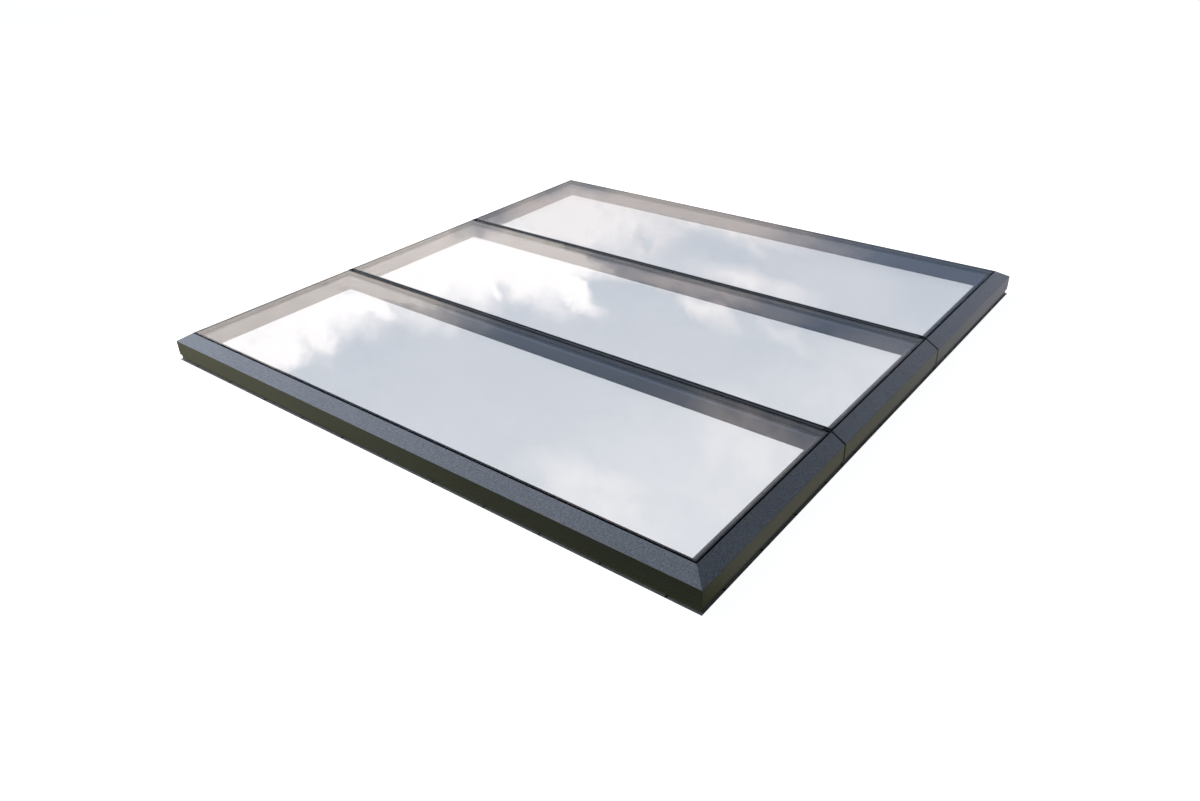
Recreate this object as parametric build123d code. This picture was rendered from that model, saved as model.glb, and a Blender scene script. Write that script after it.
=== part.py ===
from build123d import *
import os
from math import hypot

# A flat three-bay rooflight, in millimetres. +Z is up, +Y runs from the front to the back,
# and the origin is the middle of the plan at the level of the lowest edge.
# Places on a side are given as a run along it and an inset measured inwards from its outer line,
# which is the capping's face. The foot of the skirt stands a little outside it.

# Overall size
width = 3300.0
depth = 3300.0
bay_count = 3

# Capping
cap_wall = 3.0
cap_bevel_run = 67.0
cap_bevel_rise = 40.0
cap_face_height = 80.0
cap_bottom = 30.0
cap_joint_gap = 7.0
cap_joint_recess = 2.0

# Skirt below the capping
skirt_inset = 6.0
skirt_wall = 3.0
skirt_top = 60.0
skirt_clip_height = 12.0
skirt_flange_overhang = 4.0
skirt_flange_height = 3.0

# Weep slots in the skirt's bottom edge
slot_width = 7.0
slot_height = 4.0
front_slot_pitch = 300.0
front_slot_count = 11
side_slot_pitch = 270.0
side_slots_per_bay = 4

# Frame rails
rail_bottom = 43.0
rail_cap_gap = 1.0
glass_bearing = 33.0
joint_bearing = 33.5
ledge_chamfer = 8.0

# Glass units
outer_pane = 6.0
cavity = 14.0
inner_pane = 8.0
bedding = 3.5
bedding_width = 14.0
glass_rise = 2.0
glass_groove = 7.0
spacer_edge = 1.0
spacer_width = 9.0

# Gasket round each glass unit
gasket_floor = 10.0
gasket_lip = 1.5
gasket_lip_drop = 0.4

# Joints between the bays
joint_bar_width = 15.0
joint_plug_length = 38.0

# Levels and lines that follow from the sizes above
cap_shoulder = cap_bottom + cap_face_height
top = cap_shoulder + cap_bevel_rise
glass_top = top + glass_rise
inner_pane_bottom = glass_top - outer_pane - cavity - inner_pane
ledge = inner_pane_bottom - bedding
glass_inset = cap_bevel_run + glass_groove
opening_inset = glass_inset + glass_bearing
rail_inset = skirt_inset + skirt_wall
joint_half = joint_bar_width / 2 + glass_groove
glass_depth = (depth - 2 * glass_inset - 2 * joint_half * (bay_count - 1)) / bay_count
bay_pitch = glass_depth + 2 * joint_half
joint_lines = [bay_pitch * (i + 1 - bay_count / 2) for i in range(bay_count - 1)]
bevel_slope = cap_bevel_rise / cap_bevel_run

# Each side's own length, and where its frame of run, inset and height stands in the plan
side_runs = {"front": width, "right": depth, "back": width, "left": depth}
side_places = {
    "front": Pos(0, -depth / 2) * Rot(0, 0, 0),
    "right": Pos(width / 2, 0) * Rot(0, 0, 90),
    "back": Pos(0, depth / 2) * Rot(0, 0, 180),
    "left": Pos(-width / 2, 0) * Rot(0, 0, 270),
}


def block(x0, x1, y0, y1, z0, z1):
    """A box between two corners."""
    middle = Pos((x0 + x1) / 2, (y0 + y1) / 2, (z0 + z1) / 2)
    return middle * Box(x1 - x0, y1 - y0, z1 - z0)


def prism(outline, z0, z1):
    """An upright prism over an outline in the plan."""
    face = make_face(Polyline(*outline, close=True))
    return Pos(0, 0, z0) * extrude(face, amount=z1 - z0, dir=(0, 0, 1))


def profile_bar(section, start, end, start_mitre=False, end_mitre=False):
    """A bar along the run with a section of inset and height, its ends square or mitred."""
    points = [(start, inset, height) for inset, height in section]
    face = make_face(Polyline(*points, close=True))
    bar = extrude(face, amount=end - start, dir=(1, 0, 0))
    reach = max(inset for inset, height in section) + 1
    if start_mitre:
        bar -= prism([(start - 1, -1), (start + reach, reach), (start - 1, reach)], -1, top + 1)
    if end_mitre:
        bar -= prism([(end + 1, -1), (end - reach, reach), (end + 1, reach)], -1, top + 1)
    return bar


def bevel_height(inset, below=0.0):
    """The height of the capping's bevel at an inset, or of a line that far below its surface."""
    return cap_shoulder + bevel_slope * inset - below * hypot(1, bevel_slope)


def bevel_inset(height, below):
    """The inset at which the line that far below the bevel's surface reaches a height."""
    return (height - cap_shoulder + below * hypot(1, bevel_slope)) / bevel_slope


def cap_section():
    """Face, bevel and the inner leg that stands on the frame, all one wall thick."""
    inner_wall = cap_bevel_run - cap_wall
    return [
        (0, cap_bottom),
        (0, cap_shoulder),
        (cap_bevel_run, top),
        (cap_bevel_run, ledge),
        (inner_wall, ledge),
        (inner_wall, bevel_height(inner_wall, cap_wall)),
        (cap_wall, bevel_height(cap_wall, cap_wall)),
        (cap_wall, cap_bottom),
    ]


def skirt_section():
    """Upright leg with a clip against the capping's inside, and a flange at its foot that insets start from."""
    clip_bottom = skirt_top - skirt_clip_height
    outline = [
        (-skirt_flange_overhang, 0),
        (-skirt_flange_overhang, skirt_flange_height),
        (skirt_inset, skirt_flange_height),
        (skirt_inset, clip_bottom),
        (cap_wall, clip_bottom),
        (cap_wall, skirt_top),
        (rail_inset, skirt_top),
        (rail_inset, 0),
    ]
    return [(inset + skirt_flange_overhang, height) for inset, height in outline]


def joint_fin_section():
    """The black seal that fills the gap between two cap segments, just below their surface."""
    recess = cap_joint_recess
    rail_depth = cap_wall + rail_cap_gap
    return [
        (recess, cap_bottom),
        (recess, bevel_height(recess, recess)),
        (cap_bevel_run, bevel_height(cap_bevel_run, recess)),
        (cap_bevel_run, ledge),
        (bevel_inset(ledge, rail_depth), ledge),
        (rail_inset, bevel_height(rail_inset, rail_depth)),
        (rail_inset, skirt_top),
        (cap_wall, skirt_top),
        (cap_wall, cap_bottom),
    ]


def slot_places(side):
    """Where the weep slots stand along a side."""
    if side in ("front", "back"):
        middle = (front_slot_count - 1) / 2
        return [front_slot_pitch * (i - middle) for i in range(front_slot_count)]
    edges = [-depth / 2] + joint_lines + [depth / 2]
    places = list(joint_lines)
    for low, high in zip(edges, edges[1:]):
        for i in range(side_slots_per_bay):
            offset = side_slot_pitch * (i - (side_slots_per_bay - 1) / 2)
            places.append((low + high) / 2 + offset)
    return places


def skirt(side):
    """One side's skirt with its weep slots."""
    half = side_runs[side] / 2 + skirt_flange_overhang
    bar = Pos(0, -skirt_flange_overhang) * profile_bar(skirt_section(), -half, half, True, True)
    reach = skirt_flange_overhang + 1
    for place in slot_places(side):
        bar -= block(place - slot_width / 2, place + slot_width / 2, -reach, rail_inset + 1, -1, slot_height)
    return side_places[side] * bar


def long_cap(side):
    """The one-piece capping of the front or the back."""
    half = side_runs[side] / 2
    return side_places[side] * profile_bar(cap_section(), -half, half, True, True)


def side_caps(side):
    """The capping segments of the left or right side, numbered from the front."""
    half = side_runs[side] / 2
    gap = cap_joint_gap / 2
    starts = [-half] + [line + gap for line in joint_lines]
    ends = [line - gap for line in joint_lines] + [half]
    last = bay_count - 1
    caps = []
    for i, (start, end) in enumerate(zip(starts, ends)):
        caps.append(side_places[side] * profile_bar(cap_section(), start, end, i == 0, i == last))
    return caps if side == "right" else caps[::-1]


def joint_seal(side, line):
    """The seal between two side caps, with the plug that closes the end of the joint bar."""
    run = line if side == "right" else -line
    gap = cap_joint_gap / 2
    fin = profile_bar(joint_fin_section(), run - gap, run + gap)
    bar = joint_bar_width / 2
    inner_end = cap_bevel_run + joint_plug_length
    plug = block(run - bar, run + bar, cap_bevel_run, inner_end, inner_pane_bottom, glass_top)
    return side_places[side] * (fin + plug)


def bay_rectangle(i, side_inset, joint_inset):
    """A rectangle in a bay as x0, x1, y0, y1, set in from the outer lines and the joint lines."""
    x = width / 2 - side_inset
    front = -depth / 2 + side_inset if i == 0 else joint_lines[i - 1] + joint_inset
    back = depth / 2 - side_inset if i == bay_count - 1 else joint_lines[i] - joint_inset
    return -x, x, front, back


def bay_opening(i, inwards=0.0):
    """The inner edge of the ledge in a bay, or a rectangle that far inwards of it."""
    return bay_rectangle(i, opening_inset + inwards, joint_half + joint_bearing + inwards)


def plate(rectangle, height):
    """A flat rectangle in the plan at a height."""
    x0, x1, y0, y1 = rectangle
    return Pos((x0 + x1) / 2, (y0 + y1) / 2, height) * Rectangle(x1 - x0, y1 - y0)


def ledge_cutter(i):
    """The space above the chamfer round the inner edge of a bay's ledge."""
    low = plate(bay_opening(i, ledge_chamfer + 1), ledge - ledge_chamfer - 1)
    high = plate(bay_opening(i, -1), ledge + 1)
    return loft([low, high])


def cap_clearance():
    """The space of the cappings above the rails, which the rails' outer corners stay clear of."""
    start = rail_inset - 1
    end = cap_bevel_run - cap_wall
    rail_depth = cap_wall + rail_cap_gap
    section = [
        (start, bevel_height(start, rail_depth)),
        (start, top + 1),
        (end, top + 1),
        (end, bevel_height(end, rail_depth)),
    ]
    bars = []
    for side, run in side_runs.items():
        bars.append(side_places[side] * profile_bar(section, -run / 2, run / 2))
    return bars


def bay_rails(i):
    """The four mitred rails of a bay: front, right, back and left."""
    ox0, ox1, oy0, oy1 = bay_rectangle(i, rail_inset, 0)
    ix0, ix1, iy0, iy1 = bay_opening(i, ledge_chamfer)
    outer = [(ox0, oy0), (ox1, oy0), (ox1, oy1), (ox0, oy1)]
    inner = [(ix0, iy0), (ix1, iy0), (ix1, iy1), (ix0, iy1)]
    rails = []
    for side in range(4):
        after = (side + 1) % 4
        outline = [outer[side], outer[after], inner[after], inner[side]]
        rails.append(prism(outline, rail_bottom, ledge) - cap_clearance() - ledge_cutter(i))
    return rails


def pane(i, z0, z1):
    """A sheet of a bay's glass between two heights."""
    return block(*bay_rectangle(i, glass_inset, joint_half), z0, z1)


def ring(outside, inside, z0, z1):
    """A rectangular frame between two rectangles in the plan and two heights."""
    return block(*outside, z0, z1) - block(*inside, z0 - 1, z1 + 1)


def spacer(i):
    """The spacer frame between the panes, a little in from the edge of the glass."""
    outer = spacer_edge
    inner = spacer_edge + spacer_width
    bottom = inner_pane_bottom + inner_pane
    return ring(
        bay_rectangle(i, glass_inset + outer, joint_half + outer),
        bay_rectangle(i, glass_inset + inner, joint_half + inner),
        bottom,
        bottom + cavity,
    )


def gasket(i):
    """Bedding under the glass, a heel that fills the groove and a lip up the edge of the glass."""
    floor_level = glass_top - gasket_floor
    lip_top = glass_top - gasket_lip_drop
    glass = bay_rectangle(i, glass_inset, joint_half)
    groove = bay_rectangle(i, cap_bevel_run, joint_bar_width / 2)
    lip_outside = bay_rectangle(i, glass_inset - gasket_lip, joint_half - gasket_lip)
    bed_inside = bay_rectangle(i, glass_inset + bedding_width, joint_half + bedding_width)
    bed = ring(bay_rectangle(i, cap_bevel_run, 0), bed_inside, ledge, inner_pane_bottom)
    heel = ring(groove, glass, inner_pane_bottom, floor_level)
    lip = ring(lip_outside, glass, floor_level, lip_top)
    return bed + heel + lip


def joint_bar(line):
    """The flat bar between two panes, from plug to plug."""
    half = width / 2 - cap_bevel_run - joint_plug_length
    bar = joint_bar_width / 2
    return block(-half, half, line - bar, line + bar, inner_pane_bottom, glass_top)


def build_parts():
    """Every piece of the rooflight by name."""
    parts = {}
    for side in ("front", "back"):
        parts[f"{side}_cap"] = long_cap(side)
    for side in ("right", "left"):
        for i, cap in enumerate(side_caps(side)):
            parts[f"{side}_cap_{i + 1}"] = cap
        for i, line in enumerate(joint_lines):
            parts[f"{side}_joint_seal_{i + 1}"] = joint_seal(side, line)
    for side in side_runs:
        parts[f"{side}_skirt"] = skirt(side)
    for i in range(bay_count):
        front, right, back, left = bay_rails(i)
        front_name = "front_rail" if i == 0 else f"joint_{i}_back_rail"
        back_name = "back_rail" if i == bay_count - 1 else f"joint_{i + 1}_front_rail"
        parts[front_name] = front
        parts[f"right_rail_{i + 1}"] = right
        parts[back_name] = back
        parts[f"left_rail_{i + 1}"] = left
        parts[f"outer_pane_{i + 1}"] = pane(i, glass_top - outer_pane, glass_top)
        parts[f"inner_pane_{i + 1}"] = pane(i, inner_pane_bottom, inner_pane_bottom + inner_pane)
        parts[f"spacer_{i + 1}"] = spacer(i)
        parts[f"glass_gasket_{i + 1}"] = gasket(i)
    for i, line in enumerate(joint_lines):
        parts[f"joint_bar_{i + 1}"] = joint_bar(line)
    return parts


os.makedirs("parts", exist_ok=True)
for name, shape in build_parts().items():
    export_step(shape, f"parts/{name}.step")
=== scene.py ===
"""A flat three-bay rooflight on a pale floor: finishes, fine parts, light and camera."""

import math

import bmesh
import bpy
from mathutils import Matrix, Vector


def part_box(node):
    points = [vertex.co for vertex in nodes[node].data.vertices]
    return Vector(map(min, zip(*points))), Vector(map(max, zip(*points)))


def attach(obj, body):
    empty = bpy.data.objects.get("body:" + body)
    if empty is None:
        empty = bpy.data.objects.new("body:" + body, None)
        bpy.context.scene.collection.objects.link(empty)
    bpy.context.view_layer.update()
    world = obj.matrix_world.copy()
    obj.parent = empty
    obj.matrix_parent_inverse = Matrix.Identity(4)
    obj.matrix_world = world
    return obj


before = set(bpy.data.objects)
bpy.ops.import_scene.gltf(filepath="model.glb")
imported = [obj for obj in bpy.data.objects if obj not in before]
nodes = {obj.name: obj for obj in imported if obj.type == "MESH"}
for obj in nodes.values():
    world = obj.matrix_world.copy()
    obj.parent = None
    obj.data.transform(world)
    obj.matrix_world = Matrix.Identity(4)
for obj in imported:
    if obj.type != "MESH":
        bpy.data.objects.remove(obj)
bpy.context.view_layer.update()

MM = 0.001

# The photograph's camera: metres, degrees, and millimetres for lens and sensor
CAMERA_PLACE = Vector((2.9042, -3.7390, 2.3010))
CAMERA_AZIMUTH = 38.748
CAMERA_PITCH = 30.514
CAMERA_ROLL = -1.787
CAMERA_LENS = 28.02
CAMERA_SENSOR = 36.0

# Measures of the rooflight that the fine parts and the sky are laid out on
BAYS = 3
HALF_WIDTH = 1.65
GLASS_TOP = 0.152
OUTER_BAY = 1.08959
JOINT_LINES = (-0.52917, 0.52917)
BEVEL_RUN = 67.0 * MM
BEVEL_RISE = 40.0 * MM
SKIRT_SETBACK = 6.0 * MM


# ---------------------------------------------------------------- node helpers


def plug(tree, socket, value):
    """Links a socket to another, or sets its own value."""
    if isinstance(value, bpy.types.NodeSocket):
        tree.links.new(value, socket)
    elif isinstance(value, (tuple, list)) and len(socket.default_value) == 4 and len(value) == 3:
        socket.default_value = (*value, 1.0)
    else:
        socket.default_value = value


def add(tree, kind, inputs=None, **settings):
    """A shader node with its settings, and its inputs by name or number."""
    node = tree.nodes.new("ShaderNode" + kind)
    for key, value in settings.items():
        setattr(node, key, value)
    for key, value in (inputs or {}).items():
        plug(tree, node.inputs[key], value)
    return node


def math_node(tree, operation, a, b=0.0, c=0.0):
    """One step of arithmetic on numbers."""
    return add(tree, "Math", {0: a, 1: b, 2: c}, operation=operation).outputs[0]


def fade(tree, value, start, end, low=0.0, high=1.0, curve="SMOOTHSTEP"):
    """A number that goes from low at start to high at end."""
    inputs = {"Value": value, "From Min": start, "From Max": end, "To Min": low, "To Max": high}
    return add(tree, "MapRange", inputs, interpolation_type=curve).outputs[0]


def mix_colour(tree, share, first, second, blend="MIX"):
    """Two colours mixed."""
    node = tree.nodes.new("ShaderNodeMix")
    node.data_type = "RGBA"
    node.blend_type = blend
    plug(tree, node.inputs[0], share)
    plug(tree, node.inputs[6], first)
    plug(tree, node.inputs[7], second)
    return node.outputs[2]


def noise(tree, vector, scale, detail=2.0, roughness=0.5, output="Fac"):
    """Fractal noise in space."""
    inputs = {"Vector": vector, "Scale": scale, "Detail": detail, "Roughness": roughness}
    return add(tree, "TexNoise", inputs).outputs[output]


def length_of(tree, vector):
    """The length of a vector."""
    return add(tree, "VectorMath", {0: vector}, operation="LENGTH").outputs["Value"]


def relief(tree, height, strength, distance, normal=None):
    """The surface's normal with a height map pressed into it, on top of another normal if given."""
    inputs = {"Height": height, "Strength": strength, "Distance": distance}
    if normal is not None:
        inputs["Normal"] = normal
    return add(tree, "Bump", inputs).outputs[0]


def new_material(name):
    """A material with an output and nothing else."""
    material = bpy.data.materials.new(name)
    material.use_nodes = True
    tree = material.node_tree
    tree.nodes.clear()
    return material, tree, tree.nodes.new("ShaderNodeOutputMaterial")


def place(tree):
    """A surface point in the object's own space, in metres."""
    return tree.nodes.new("ShaderNodeTexCoord").outputs["Object"]


def surface(tree, output, inputs):
    """The one shader of a plain material, from its inputs."""
    shader = add(tree, "BsdfPrincipled", inputs)
    tree.links.new(shader.outputs[0], output.inputs[0])


# ------------------------------------------------------------------- materials


def powder_coat(name, dark, light, roughness, specular, grain=1.0):
    """Textured powder coat: a fine grain in colour, gloss and relief."""
    material, tree, output = new_material(name)
    point = place(tree)
    fleck = noise(tree, point, scale=180.0, detail=4.0, roughness=0.85)
    colour = mix_colour(tree, fade(tree, fleck, 0.36, 0.68), dark, light)
    cloud = noise(tree, point, scale=2.6, detail=3.0, roughness=0.5)
    drift = fade(tree, cloud, 0.3, 0.7, 0.94, 1.04)
    drift = add(tree, "CombineColor", {0: drift, 1: drift, 2: drift}).outputs[0]
    colour = mix_colour(tree, 1.0, colour, drift, "MULTIPLY")
    tooth = noise(tree, point, scale=900.0, detail=2.0, roughness=0.6)
    tooth = math_node(tree, "ADD", tooth, math_node(tree, "MULTIPLY", fleck, 1.4))
    normal = relief(tree, tooth, 0.55 * grain, 0.25 * MM)
    peel = noise(tree, point, scale=95.0, detail=2.0, roughness=0.55)
    normal = relief(tree, peel, 0.5 * grain, 1.2 * MM, normal)
    inputs = {
        "Base Color": colour,
        "Roughness": math_node(tree, "MULTIPLY_ADD", fleck, 0.16, roughness - 0.08),
        "Normal": normal,
        "Specular IOR Level": specular,
    }
    surface(tree, output, inputs)
    return material


def rubber(name, dark, light, roughness):
    """Dull black rubber or sealant with a slight bloom."""
    material, tree, output = new_material(name)
    point = place(tree)
    bloom = noise(tree, point, scale=60.0, detail=4.0, roughness=0.6)
    skin = noise(tree, point, scale=1200.0, detail=2.0, roughness=0.6)
    inputs = {
        "Base Color": mix_colour(tree, fade(tree, bloom, 0.35, 0.75), dark, light),
        "Roughness": math_node(tree, "MULTIPLY_ADD", bloom, 0.2, roughness - 0.1),
        "Normal": relief(tree, skin, 0.35, 0.15 * MM),
        "Specular IOR Level": 0.06,
    }
    surface(tree, output, inputs)
    return material


def spacer_metal(name, bottom, top):
    """The spacer bar: dark satin metal with rows of fine holes, the holes painted dark as the shade
    inside them, and black seams at the glass.
    """
    pitch, row_gap, hole = 4.0 * MM, 4.5 * MM, 0.55 * MM
    seam_start, seam_end = 0.8 * MM, 0.5 * MM
    dark, light = (0.060, 0.062, 0.066), (0.170, 0.172, 0.180)
    # The holes' colour is painted shade inside the holes
    hole_shade_colour, seam_colour = (0.024, 0.024, 0.026), (0.020, 0.020, 0.022)

    material, tree, output = new_material(name)
    point = place(tree)
    axes = add(tree, "SeparateXYZ", {0: point})
    along = math_node(tree, "ADD", axes.outputs[0], axes.outputs[1])
    step = math_node(tree, "PINGPONG", along, pitch / 2)
    rise = math_node(tree, "SUBTRACT", axes.outputs[2], (bottom + top) / 2)
    rise = math_node(tree, "ABSOLUTE", rise)
    off_row = math_node(tree, "ABSOLUTE", math_node(tree, "SUBTRACT", rise, row_gap / 2))
    away = length_of(tree, add(tree, "CombineXYZ", {0: step, 1: off_row}).outputs[0])
    solid = fade(tree, away, hole * 0.7, hole * 1.2)
    half = (top - bottom) / 2
    seam = fade(tree, rise, half - seam_start, half - seam_end)

    fleck = noise(tree, point, scale=150.0, detail=3.0, roughness=0.8)
    colour = mix_colour(tree, fade(tree, fleck, 0.35, 0.7), dark, light)
    colour = mix_colour(tree, solid, hole_shade_colour, colour)
    colour = mix_colour(tree, seam, colour, seam_colour)
    stretched = add(tree, "Mapping", {"Vector": point, "Scale": (30.0, 30.0, 900.0)}).outputs[0]
    brushed = noise(tree, stretched, scale=4.0, detail=3.0)
    inputs = {
        "Base Color": colour,
        "Roughness": math_node(tree, "MULTIPLY_ADD", brushed, 0.15, 0.36),
        "Normal": relief(tree, solid, 0.5, 0.3 * MM),
    }
    surface(tree, output, inputs)
    return material


def clear_glass(name, clean, dusty, waviness):
    """Float glass that bends light, with a slight wave and film.

    Lamps and soft light pass straight through it.
    """
    material, tree, output = new_material(name)
    point = place(tree)
    film = noise(tree, point, scale=3.5, detail=5.0, roughness=0.62)
    wave = noise(tree, point, scale=5.0, detail=1.0, roughness=0.4)
    inputs = {
        "Base Color": mix_colour(tree, fade(tree, film, 0.35, 0.75), clean, dusty),
        "Roughness": 0.0,
        "IOR": 1.52,
        "Transmission Weight": 1.0,
        "Normal": relief(tree, wave, waviness, 0.5 * MM),
    }
    glass = add(tree, "BsdfPrincipled", inputs)
    through = add(tree, "BsdfTransparent", {"Color": (0.93, 0.945, 0.955)})
    path = tree.nodes.new("ShaderNodeLightPath")
    shadow, soft = path.outputs["Is Shadow Ray"], path.outputs["Is Diffuse Ray"]
    straight = math_node(tree, "MAXIMUM", shadow, soft)
    mixed = add(tree, "MixShader", {0: straight, 1: glass.outputs[0], 2: through.outputs[0]})
    tree.links.new(mixed.outputs[0], output.inputs[0])
    return material


# Each coat: dark fleck, light fleck, roughness, specular level, depth of the grain
COATS = {
    "cap_coating": ((0.072, 0.082, 0.096), (0.224, 0.248, 0.286), 0.36, 0.5, 1.0),
    # The skirt's coat is lighter than the cap's: painted light, lifting the shade under the cap's
    # overhang and lighting the line along the foot flange
    "skirt_coating": ((0.120, 0.128, 0.120), (0.300, 0.310, 0.280), 0.4, 0.95, 1.0),
    "frame_coating": ((0.054, 0.060, 0.072), (0.126, 0.140, 0.164), 0.4, 0.4, 0.7),
    "joint_bar_coating": ((0.024, 0.030, 0.036), (0.056, 0.066, 0.078), 0.45, 0.18, 0.6),
}
# Each rubber: black, bloom, roughness
RUBBERS = {
    "black_seal": ((0.006, 0.007, 0.009), (0.014, 0.016, 0.020), 0.6),
    "black_gasket": ((0.006, 0.007, 0.009), (0.014, 0.016, 0.020), 0.6),
}
# Each glass: clean tint, dusty tint, strength of the wave
GLASSES = {
    "outer_glass": ((0.885, 0.882, 0.915), (0.87, 0.868, 0.902), 0.004),
    "inner_glass": ((0.88, 0.878, 0.91), (0.87, 0.868, 0.90), 0.002),
}

finishes = {}
for coat, settings in COATS.items():
    finishes[coat] = powder_coat(coat, *settings)
for black, settings in RUBBERS.items():
    finishes[black] = rubber(black, *settings)
spacer_bottom, spacer_top = (corner.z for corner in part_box("spacer_1"))
finishes["spacer_bar"] = spacer_metal("spacer_bar", spacer_bottom, spacer_top)
for pane, settings in GLASSES.items():
    finishes[pane] = clear_glass(pane, *settings)


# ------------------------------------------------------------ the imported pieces

# The material slot of a piece, by the first of these words that is in its name
KINDS = (
    ("joint_seal", "black_seal"),
    ("joint_bar", "joint_bar_coating"),
    ("cap", "cap_coating"),
    ("skirt", "skirt_coating"),
    ("rail", "frame_coating"),
    ("gasket", "black_gasket"),
    ("spacer", "spacer_bar"),
    ("outer_pane", "outer_glass"),
    ("inner_pane", "inner_glass"),
)
# Width and segments of the rounded edges
EDGES = {
    "cap_coating": (0.7 * MM, 2),
    "skirt_coating": (0.5 * MM, 2),
    "frame_coating": (0.8 * MM, 2),
    "joint_bar_coating": (0.4 * MM, 2),
    "black_seal": (0.4 * MM, 2),
    "black_gasket": (0.2 * MM, 1),
    "spacer_bar": (0.5 * MM, 1),
    "outer_glass": (0.4 * MM, 1),
    "inner_glass": (0.4 * MM, 1),
}
WELD_GAP = 1e-6
FLAT_ANGLE = math.radians(1.0)
EDGE_ANGLE = math.radians(25.0)


def finish_of(name):
    """The material slot of a piece, by its name."""
    return next(slot for word, slot in KINDS if word in name)


def dress(piece, slot):
    """The finish of a slot, on the whole piece."""
    piece.data.materials.clear()
    piece.data.materials.append(finishes[slot])


def ease_edges(piece, width, segments):
    """Rounded edges on a piece whose flat faces are made of triangles."""
    weld = piece.modifiers.new("weld", "WELD")
    weld.merge_threshold = WELD_GAP
    flat = piece.modifiers.new("flat", "DECIMATE")
    flat.decimate_type = "DISSOLVE"
    flat.angle_limit = FLAT_ANGLE
    bevel = piece.modifiers.new("edge", "BEVEL")
    bevel.width = width
    bevel.segments = segments
    bevel.limit_method = "ANGLE"
    bevel.angle_limit = EDGE_ANGLE


for node_name, node in nodes.items():
    node_slot = finish_of(node_name)
    dress(node, node_slot)
    ease_edges(node, *EDGES[node_slot])


# ------------------------------------------------------------------ fine parts


def new_piece(name, mesh, slot):
    """A piece of the rooflight that rides on its one body."""
    bmesh.ops.recalc_face_normals(mesh, faces=mesh.faces)
    data = bpy.data.meshes.new(name)
    mesh.to_mesh(data)
    mesh.free()
    piece = bpy.data.objects.new(name, data)
    bpy.context.scene.collection.objects.link(piece)
    dress(piece, slot)
    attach(piece, "root")


def rectangle(low, high, inset):
    """The plan corners of a box, set in by a distance."""
    x0, y0, x1, y1 = low.x + inset, low.y + inset, high.x - inset, high.y - inset
    return [(x0, y0), (x1, y0), (x1, y1), (x0, y1)]


def ring_piece(name, outer, inner, bottom, top, slot):
    """A rectangular ring between two plan rectangles and two heights."""
    mesh = bmesh.new()
    loops = []
    for corners, height in ((outer, bottom), (outer, top), (inner, top), (inner, bottom)):
        loops.append([mesh.verts.new((x, y, height)) for x, y in corners])
    for i in range(4):
        a, b = loops[i], loops[(i + 1) % 4]
        for j in range(4):
            k = (j + 1) % 4
            mesh.faces.new((a[j], a[k], b[k], b[j]))
    new_piece(name, mesh, slot)


def box_into(mesh, low, high):
    """Adds a box between two corners to a mesh."""
    middle = [(a + b) / 2 for a, b in zip(low, high)]
    size = [b - a for a, b in zip(low, high)]
    matrix = Matrix.Translation(middle) @ Matrix.Diagonal((*size, 1.0))
    bmesh.ops.create_cube(mesh, size=1.0, matrix=matrix)


# Black sealant round the edge of each glass unit, between its panes and outside its spacer
SEALANT_SETBACK = 0.25 * MM
SEALANT_CLEARANCE = 0.05 * MM
for bay in range(1, BAYS + 1):
    glass_low, glass_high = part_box(f"outer_pane_{bay}")
    spacer_low, spacer_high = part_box(f"spacer_{bay}")
    ring_piece(
        f"edge_sealant_{bay}",
        rectangle(glass_low, glass_high, SEALANT_SETBACK),
        rectangle(spacer_low, spacer_high, -SEALANT_CLEARANCE),
        spacer_low.z + SEALANT_CLEARANCE,
        spacer_high.z - SEALANT_CLEARANCE,
        "black_gasket",
    )


# A black strip on the ledge, between the bedding and the opening: painted shade, a dark sheet laid
# where the grey ledge is only in shade
SHADE_STRIP_OUTER = 14.5 * MM
SHADE_STRIP_INNER = 32.5 * MM
SHADE_STRIP_BOTTOM = 0.02 * MM
SHADE_STRIP_TOP = 0.8 * MM
for bay in range(1, BAYS + 1):
    glass_low, glass_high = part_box(f"inner_pane_{bay}")
    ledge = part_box(f"right_rail_{bay}")[1].z
    ring_piece(
        f"ledge_shade_strip_{bay}",
        rectangle(glass_low, glass_high, SHADE_STRIP_OUTER),
        rectangle(glass_low, glass_high, SHADE_STRIP_INNER),
        ledge + SHADE_STRIP_BOTTOM,
        ledge + SHADE_STRIP_TOP,
        "black_gasket",
    )


# A black pad in each weep slot at the foot of the skirt: painted shade inside the slots
FRONT_SLOTS = 11
FRONT_PITCH = 0.3
SIDE_STEPS = (-0.405, -0.135, 0.135, 0.405)
SLOT_RUNS = {
    "front": [FRONT_PITCH * (i - FRONT_SLOTS // 2) for i in range(FRONT_SLOTS)],
    "side": [bay + step for bay in (-OUTER_BAY, 0.0, OUTER_BAY) for step in SIDE_STEPS],
}
SLOT_RUNS["side"] += JOINT_LINES
PAD_REACH = 3.3 * MM
PAD_OUT = 3.6 * MM
PAD_IN = 8.6 * MM
PAD_BOTTOM = 0.2 * MM
PAD_TOP = 3.8 * MM
SIDES = (
    ("front", "front", 0),
    ("right", "side", 90),
    ("back", "front", 180),
    ("left", "side", 270),
)
for side, runs, angle in SIDES:
    mesh = bmesh.new()
    for run in SLOT_RUNS[runs]:
        box_into(
            mesh,
            (run - PAD_REACH, -HALF_WIDTH - PAD_OUT, PAD_BOTTOM),
            (run + PAD_REACH, -HALF_WIDTH + PAD_IN, PAD_TOP),
        )
    mesh.transform(Matrix.Rotation(math.radians(angle), 4, "Z"))
    new_piece(f"{side}_slot_shade_pads", mesh, "black_seal")


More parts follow.
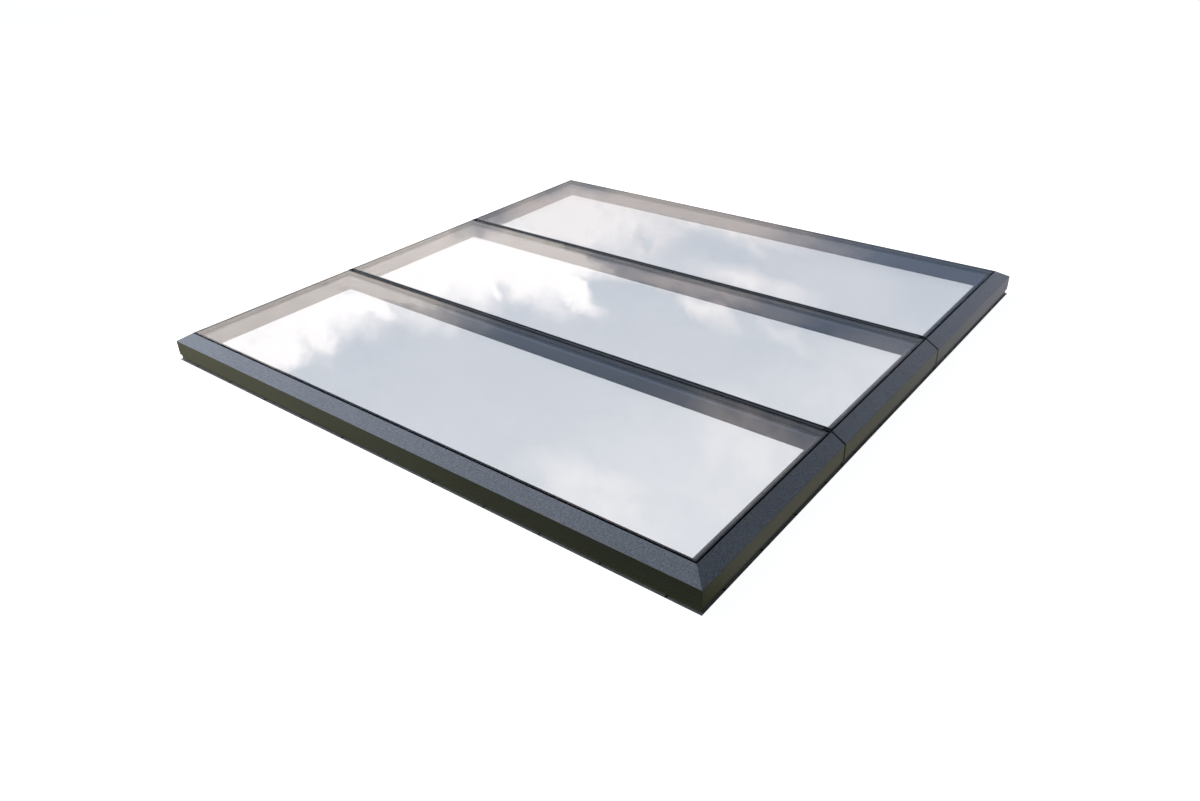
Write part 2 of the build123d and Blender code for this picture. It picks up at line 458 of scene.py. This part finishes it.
# Black sealant smoothed over the joints of the side caps: down the slope, the face and the skirt
BEAD = 5.0 * MM
BEAD_ON_SKIRT = 4.0 * MM
PROUD = 0.4 * MM
PROUD_OF_SLOPE_TOP = 0.1 * MM
PROUD_OF_SLOPE_FOOT = 0.3 * MM
DEPTH = 1.0 * MM
SKIRT_FOOT = 3.2 * MM
SKIRT_OVERLAP = 2.0 * MM
for side, turn in (("right", 1.0), ("left", -1.0)):
    cap_low, cap_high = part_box(f"{side}_cap_2")
    face = max(abs(cap_low.x), cap_high.x)
    skirt_face = face - SKIRT_SETBACK
    skirt_reach = sorted((turn * (skirt_face - DEPTH), turn * (skirt_face + PROUD)))
    profile = [
        (face - BEVEL_RUN, cap_high.z + PROUD_OF_SLOPE_TOP),
        (face + PROUD, cap_high.z - BEVEL_RISE + PROUD_OF_SLOPE_FOOT),
        (face + PROUD, cap_low.z),
        (face - DEPTH, cap_low.z),
        (face - DEPTH, cap_high.z - BEVEL_RISE - DEPTH),
        (face - BEVEL_RUN, cap_high.z - DEPTH),
    ]
    for index, line in enumerate(JOINT_LINES, 1):
        mesh = bmesh.new()
        near, far = (
            [mesh.verts.new((turn * x, line + run, z)) for x, z in profile] for run in (-BEAD, BEAD)
        )
        for i in range(len(profile)):
            j = (i + 1) % len(profile)
            mesh.faces.new((near[i], near[j], far[j], far[i]))
        mesh.faces.new(near)
        mesh.faces.new(far)
        box_into(
            mesh,
            (skirt_reach[0], line - BEAD_ON_SKIRT, SKIRT_FOOT),
            (skirt_reach[1], line + BEAD_ON_SKIRT, cap_low.z + SKIRT_OVERLAP),
        )
        new_piece(f"{side}_joint_bead_{index}", mesh, "black_seal")


# ----------------------------------------------------------------------- light

# The sky that mirrors and glass see is laid out on the plane of the glass, where the photograph's
# camera sees it mirrored. Each patch is (x, y, half length, half breadth, turn in degrees, strength).
CAMERA_DROP = CAMERA_PLACE.z - GLASS_TOP
BANK = (
    (-1.85, -1.20, 0.98, 0.75, 0.0, 1.0),
    (-1.06, -1.44, 0.28, 0.20, 0.0, 0.9),
    (-1.02, -1.19, 0.32, 0.12, -12.0, 0.8),
    (-1.08, -0.83, 0.36, 0.11, -15.0, 0.85),
    (-1.22, -0.64, 0.50, 0.10, 0.0, 1.15),
    (-1.58, -0.18, 1.10, 0.60, -30.0, 1.0),
    (-1.00, 0.02, 0.45, 0.20, -33.0, 1.0),
    (-0.80, 0.15, 0.75, 0.26, -35.0, 1.0),
    (-0.72, 0.36, 0.58, 0.15, -10.0, 1.0),
    (-0.38, 0.07, 0.58, 0.12, -33.0, 0.9),
    (-0.74, -0.26, 0.30, 0.08, -25.0, 0.7),
)
VEIL = (
    (1.08, -1.48, 0.34, 0.14, -10.0, 0.9),
    (1.33, -0.82, 0.34, 0.26, -35.0, 0.85),
    (1.50, -1.10, 0.55, 0.60, 0.0, 0.5),
    (1.50, -0.10, 0.30, 0.50, 0.0, 0.4),
    (0.20, 0.40, 0.58, 0.12, 0.0, 0.85),
    (0.46, 0.20, 0.25, 0.08, -38.0, 1.0),
    (0.95, 0.17, 0.24, 0.07, -30.0, 0.5),
    (-1.00, 0.98, 0.76, 0.52, -20.0, 1.4),
    (0.85, 0.90, 0.42, 0.30, -35.0, 0.22),
    (0.48, 0.66, 0.40, 0.12, -8.0, 0.95),
    (0.24, 1.16, 0.20, 0.07, -45.0, 0.6),
    (-0.60, 1.40, 0.95, 0.24, 0.0, 1.6),
)
HOLLOW = (
    (0.03, 0.94, 0.26, 0.16, -60.0, 1.0),
    (-0.34, 0.87, 0.22, 0.05, -50.0, 0.7),
)
GLEAM = (
    (-2.4, -5.0, 3.2, 2.2, 0.0, 1.2),
    (5.1, 3.9, 2.6, 1.7, 60.0, 1.2),
)
PATCH_CORE = 0.3
PATCH_RIM = 1.6
LOWEST = 0.03  # height of the lowest direction that the sky is laid out for
WHITE = (1.0, 1.0, 1.0)


def patches(tree, point, rows):
    """The strongest of several soft ellipses at a point of the glass plane."""
    total = None
    for x, y, length, breadth, turn, strength in rows:
        inputs = {
            "Vector": point,
            "Location": (x, y, 0.0),
            "Rotation": (0.0, 0.0, math.radians(turn)),
            "Scale": (length, breadth, 1.0),
        }
        spot = add(tree, "Mapping", inputs, vector_type="TEXTURE").outputs[0]
        away = length_of(tree, spot)
        value = fade(tree, away, PATCH_CORE, PATCH_RIM, strength, 0.0, "LINEAR")
        total = value if total is None else math_node(tree, "MAXIMUM", total, value)
    return total


def glass_point(tree, direction, height):
    """Where on the glass plane the photograph's camera sees a direction of the sky mirrored."""
    axes = add(tree, "SeparateXYZ", {0: direction})
    low = math_node(tree, "MAXIMUM", height, LOWEST)
    spots = []
    for axis, start in ((0, CAMERA_PLACE.x), (1, CAMERA_PLACE.y)):
        ratio = math_node(tree, "DIVIDE", axes.outputs[axis], low)
        spots.append(math_node(tree, "MULTIPLY_ADD", ratio, CAMERA_DROP, start))
    point = add(tree, "CombineXYZ", {0: spots[0], 1: spots[1]}).outputs[0]
    warp = noise(tree, direction, scale=16.0, detail=4.0, roughness=0.6, output="Color")
    warp = add(tree, "VectorMath", {0: warp, 1: (0.5, 0.5, 0.5)}, operation="SUBTRACT").outputs[0]
    warp = add(tree, "VectorMath", {0: warp, "Scale": 0.5}, operation="SCALE").outputs[0]
    return add(tree, "VectorMath", {0: point, 1: warp}, operation="ADD").outputs[0]


def studio_world():
    """White to the camera, soft plain light on the object, and a cloudy sky to mirrors and glass."""
    world = bpy.data.worlds.new("studio")
    bpy.context.scene.world = world
    world.use_nodes = True
    tree = world.node_tree
    tree.nodes.clear()
    direction = tree.nodes.new("ShaderNodeTexCoord").outputs["Generated"]
    height = add(tree, "SeparateXYZ", {0: direction}).outputs[2]
    point = glass_point(tree, direction, height)
    billow = noise(tree, direction, scale=22.0, detail=6.0, roughness=0.58)
    drift = noise(tree, direction, scale=3.2, detail=3.0, roughness=0.5)

    ragged = math_node(tree, "MULTIPLY_ADD", billow, 0.5, -0.25)
    bank = fade(tree, math_node(tree, "ADD", patches(tree, point, BANK), ragged), 0.24, 0.74)
    thin = fade(tree, billow, 0.28, 0.62, 0.45, 1.0)
    veil = math_node(tree, "MULTIPLY", patches(tree, point, VEIL), thin)
    gap = math_node(tree, "SUBTRACT", 1.0, patches(tree, point, HOLLOW))
    veil = math_node(tree, "MULTIPLY", veil, gap)

    share = fade(tree, drift, 0.3, 0.7)
    blue = mix_colour(tree, share, (0.22, 0.29, 0.41), (0.34, 0.40, 0.50))
    sky = mix_colour(tree, veil, blue, (1.15, 1.05, 0.99))
    share = fade(tree, billow, 0.3, 0.7)
    cloud = mix_colour(tree, share, (1.58, 1.46, 1.36), (1.72, 1.60, 1.50))
    sky = mix_colour(tree, bank, sky, cloud)
    sky = mix_colour(tree, patches(tree, point, GLEAM), sky, (2.5, 2.6, 3.0))

    overhead = fade(tree, height, 0.3, 0.95)
    ambient = mix_colour(tree, overhead, (0.0125, 0.0125, 0.01), (0.18, 0.20, 0.24))
    path = tree.nodes.new("ShaderNodeLightPath")
    glossy, through = path.outputs["Is Glossy Ray"], path.outputs["Is Transmission Ray"]
    colour = mix_colour(tree, math_node(tree, "MAXIMUM", glossy, through), ambient, sky)
    colour = mix_colour(tree, path.outputs["Is Camera Ray"], colour, WHITE)
    background = add(tree, "Background", {"Color": colour, "Strength": 1.0})
    output = tree.nodes.new("ShaderNodeOutputWorld")
    tree.links.new(background.outputs[0], output.inputs[0])


def softbox(name, where, aim, size, power, colour):
    """A large square lamp that lights the object and doesn't mirror in it."""
    light = bpy.data.lights.new(name, "AREA")
    light.size = size
    light.energy = power
    light.color = colour
    lamp = bpy.data.objects.new(name, light)
    lamp.location = where
    lamp.rotation_mode = "QUATERNION"
    lamp.rotation_quaternion = (Vector(aim) - Vector(where)).to_track_quat("-Z", "Y")
    lamp.visible_glossy = False
    lamp.visible_camera = False
    lamp.visible_transmission = False
    bpy.context.scene.collection.objects.link(lamp)


def floor_material():
    """White with a soft shadow to the camera, and another plain glow to each other kind of ray.

    Glass shows a pale room under it. Mirrors see dull ground that is paler towards the left, and
    brighter beyond the back. Soft light gets a faint bounce.
    """
    material, tree, output = new_material("floor")
    material.cycles.emission_sampling = "NONE"
    path = tree.nodes.new("ShaderNodeLightPath")
    camera_ray = path.outputs["Is Camera Ray"]
    through = path.outputs["Is Transmission Ray"]
    axes = add(tree, "SeparateXYZ", {0: place(tree)})
    x, y = axes.outputs[0], axes.outputs[1]

    ground = mix_colour(tree, fade(tree, x, -2.0, 1.6), (0.64, 0.62, 0.38), (0.08, 0.09, 0.0))
    ground = mix_colour(tree, fade(tree, y, -1.8, -1.2), ground, (0.42, 0.405, 0.32))
    ground = mix_colour(tree, fade(tree, y, -0.5, 2.6), ground, (0.85, 0.86, 1.0))
    unseen = mix_colour(tree, path.outputs["Is Glossy Ray"], (0.075, 0.075, 0.0), ground)
    seen = mix_colour(tree, through, (0.94, 0.94, 0.94), (1.02, 1.06, 1.03))
    glow = mix_colour(tree, math_node(tree, "MAXIMUM", camera_ray, through), unseen, seen)
    shade = mix_colour(tree, camera_ray, (0.0, 0.0, 0.0), (0.5, 0.5, 0.5))

    matt = add(tree, "BsdfDiffuse", {"Color": shade})
    light = add(tree, "Emission", {"Color": glow})
    both = add(tree, "AddShader", {0: matt.outputs[0], 1: light.outputs[0]})
    tree.links.new(both.outputs[0], output.inputs[0])
    return material


def studio_floor(half):
    """A large square pale floor."""
    data = bpy.data.meshes.new("floor")
    corners = [(-half, -half, 0), (half, -half, 0), (half, half, 0), (-half, half, 0)]
    data.from_pydata(corners, [], [(0, 1, 2, 3)])
    floor = bpy.data.objects.new("floor", data)
    bpy.context.scene.collection.objects.link(floor)
    data.materials.append(floor_material())


studio_world()
softbox(
    "key",
    where=(-8.25, -0.75, 7.25),
    aim=(0.0, 0.0, 0.1),
    size=7.0,
    power=1760.0,
    colour=(0.985, 1.0, 1.03),
)
studio_floor(half=60.0)


# ---------------------------------------------------------------------- camera

camera_data = bpy.data.cameras.new("camera")
camera_data.sensor_width = CAMERA_SENSOR
camera_data.lens = CAMERA_LENS
camera = bpy.data.objects.new("camera", camera_data)
bpy.context.scene.collection.objects.link(camera)
camera.matrix_world = (
    Matrix.Translation(CAMERA_PLACE)
    @ Matrix.Rotation(math.radians(CAMERA_AZIMUTH), 4, "Z")
    @ Matrix.Rotation(math.radians(90.0 - CAMERA_PITCH), 4, "X")
    @ Matrix.Rotation(math.radians(CAMERA_ROLL), 4, "Z")
)
bpy.context.scene.camera = camera

bpy.context.scene.view_settings.view_transform = "Standard"
